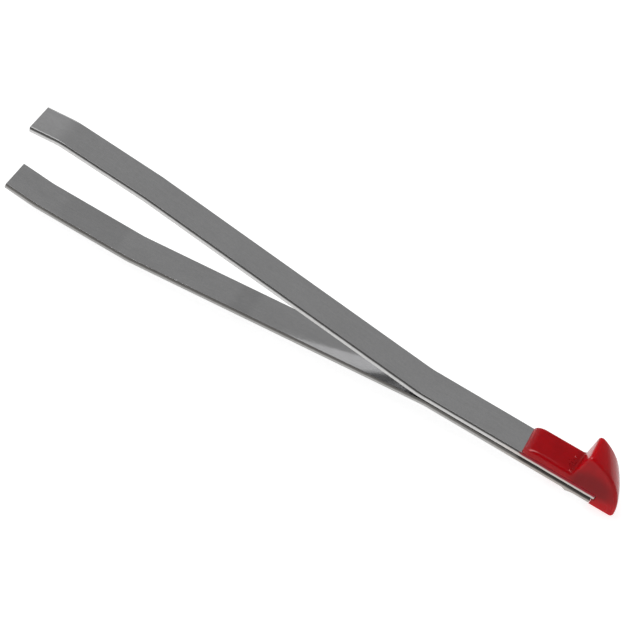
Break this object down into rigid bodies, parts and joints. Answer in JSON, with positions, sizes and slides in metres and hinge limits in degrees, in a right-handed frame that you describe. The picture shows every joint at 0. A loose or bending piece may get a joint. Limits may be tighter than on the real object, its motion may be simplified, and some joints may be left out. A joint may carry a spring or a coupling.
{
  "type": "pocket-knife tweezers",
  "caption": "Slide-out tweezers for a pocket-knife handle: sprung steel arms joined at one end by a moulded plastic head with a hooked fingernail catch.",
  "frame": {"origin": "on the flat underside of the lower arm, halfway across its width, directly below the head's front shoulder", "axes": "+X along the strips towards the head, +Y across the strips' width, +Z from the lower arm to the upper arm"},
  "size_m": [0.045, 0.0024, 0.0066],
  "materials": {
    "head_plastic": "glossy moulded red, very slightly translucent",
    "arm_steel": "satin rolled stainless strip with bright sheared edges"
  },
  "bodies": {
    "head": {"head": "head_plastic", "upper_arm_root": "arm_steel", "lower_arm_root": "arm_steel"},
    "upper_arm": {"upper_arm_blade": "arm_steel"},
    "lower_arm": {"lower_arm_blade": "arm_steel"}
  },
  "joints": [
    {"name": "upper_arm_flex", "type": "hinge", "parent": "head", "child": "upper_arm", "pos_m": [-0.01263, 0, 0.00132], "axis": [0, -1, 0], "range_deg": [0, 6.65], "stiffness_Nm_per_rad": 0.04},
    {"name": "lower_arm_flex", "type": "hinge", "parent": "head", "child": "lower_arm", "pos_m": [-0.01263, 0, -0.00046], "axis": [0, 1, 0], "range_deg": [0, 5.35], "stiffness_Nm_per_rad": 0.04}
  ]
}
